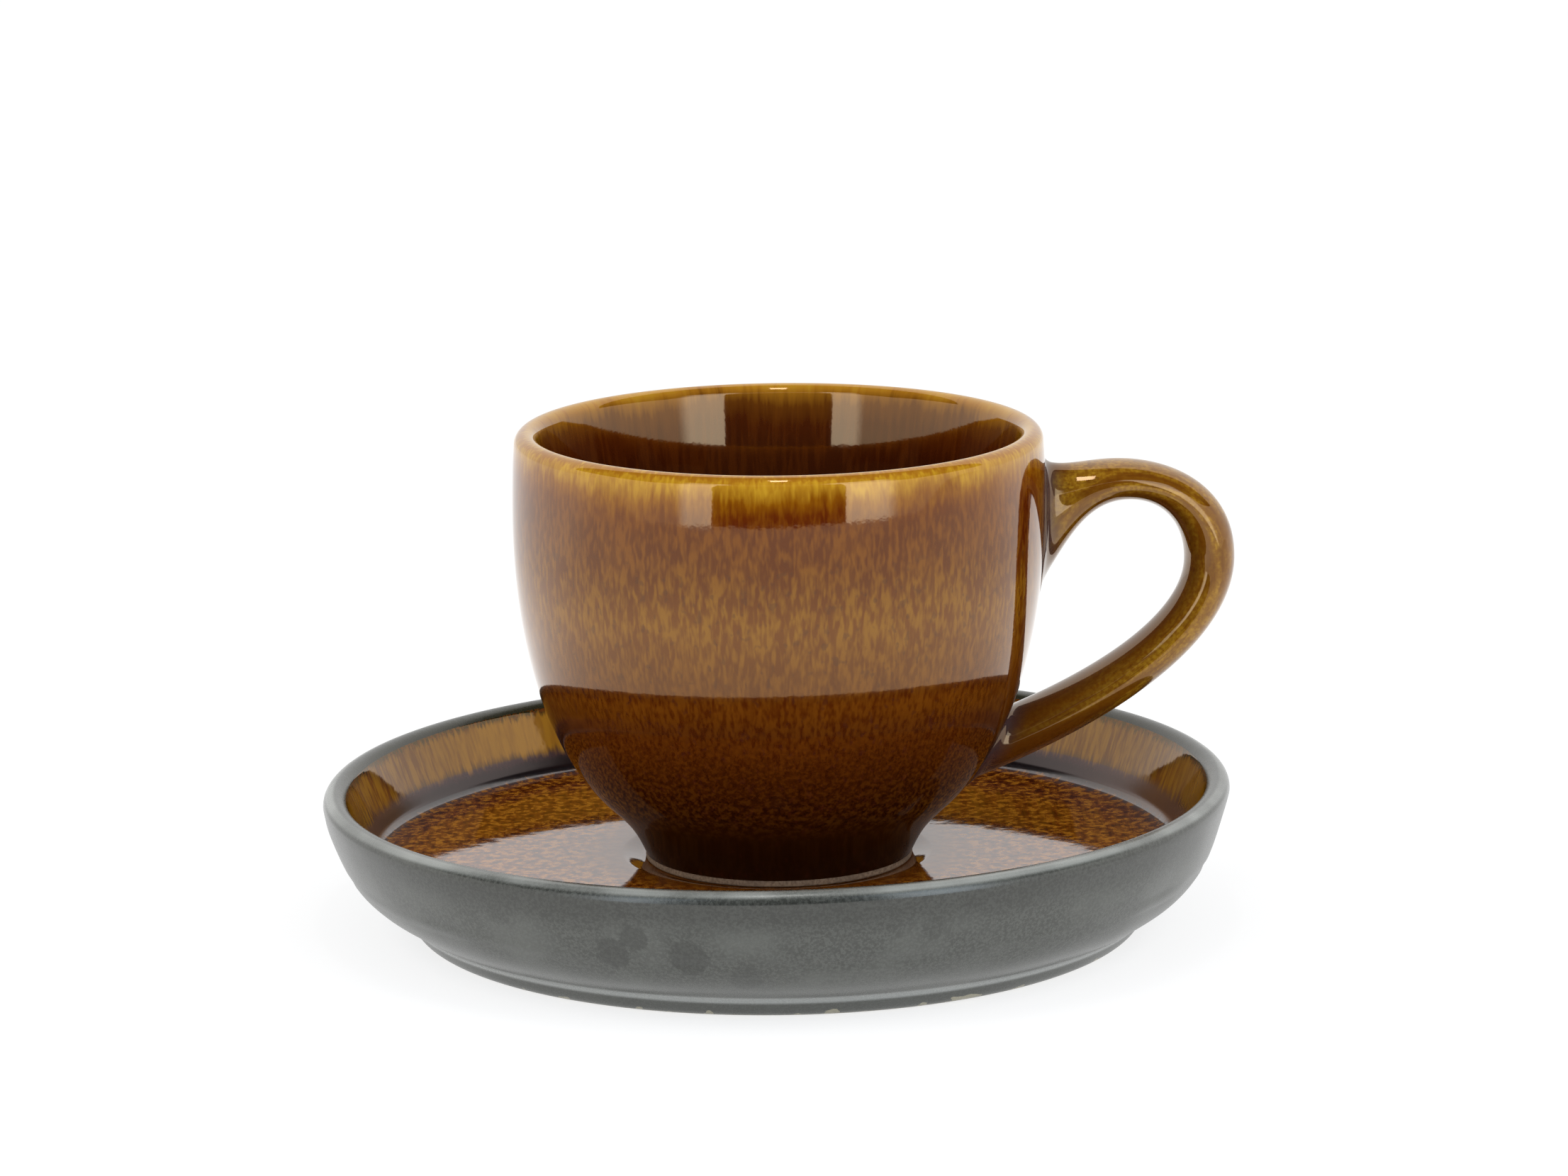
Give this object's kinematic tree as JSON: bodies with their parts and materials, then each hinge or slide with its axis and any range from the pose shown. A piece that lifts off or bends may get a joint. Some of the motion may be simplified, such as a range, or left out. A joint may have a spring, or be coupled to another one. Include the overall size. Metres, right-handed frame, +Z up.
{
  "type": "espresso cup with saucer",
  "caption": "Round-bellied stoneware espresso cup with an ear handle, standing in a shallow well in a deep-rimmed saucer.",
  "frame": {"origin": "bottom centre of the saucer's foot ring, on the surface it stands on", "axes": "+Z up along the axis of cup and saucer, +X towards the handle, -Y roughly towards the picture's viewer, who stood 7.5 degrees to the side away from the handle"},
  "size_m": [0.121, 0.12, 0.0665],
  "materials": {
    "saucer_glaze": "matt mid-grey glaze outside and over the rim, glossy amber-brown glaze inside, bare cream clay under the foot",
    "cup_glaze": "glossy reactive amber glaze, golden at the lip and near black at the neck, bare cream clay at the foot",
    "handle_glaze": "the same glossy glaze, olive-gold on the strap and dark where it pools in the roots"
  },
  "bodies": {
    "saucer": {"saucer": "saucer_glaze"},
    "cup": {"cup_body": "cup_glaze", "cup_handle": "handle_glaze"}
  },
  "joints": [
    {"name": "cup_lift", "type": "slide", "parent": "saucer", "child": "cup", "axis": [0, 0, 1], "range_m": [0, 0.08]}
  ]
}
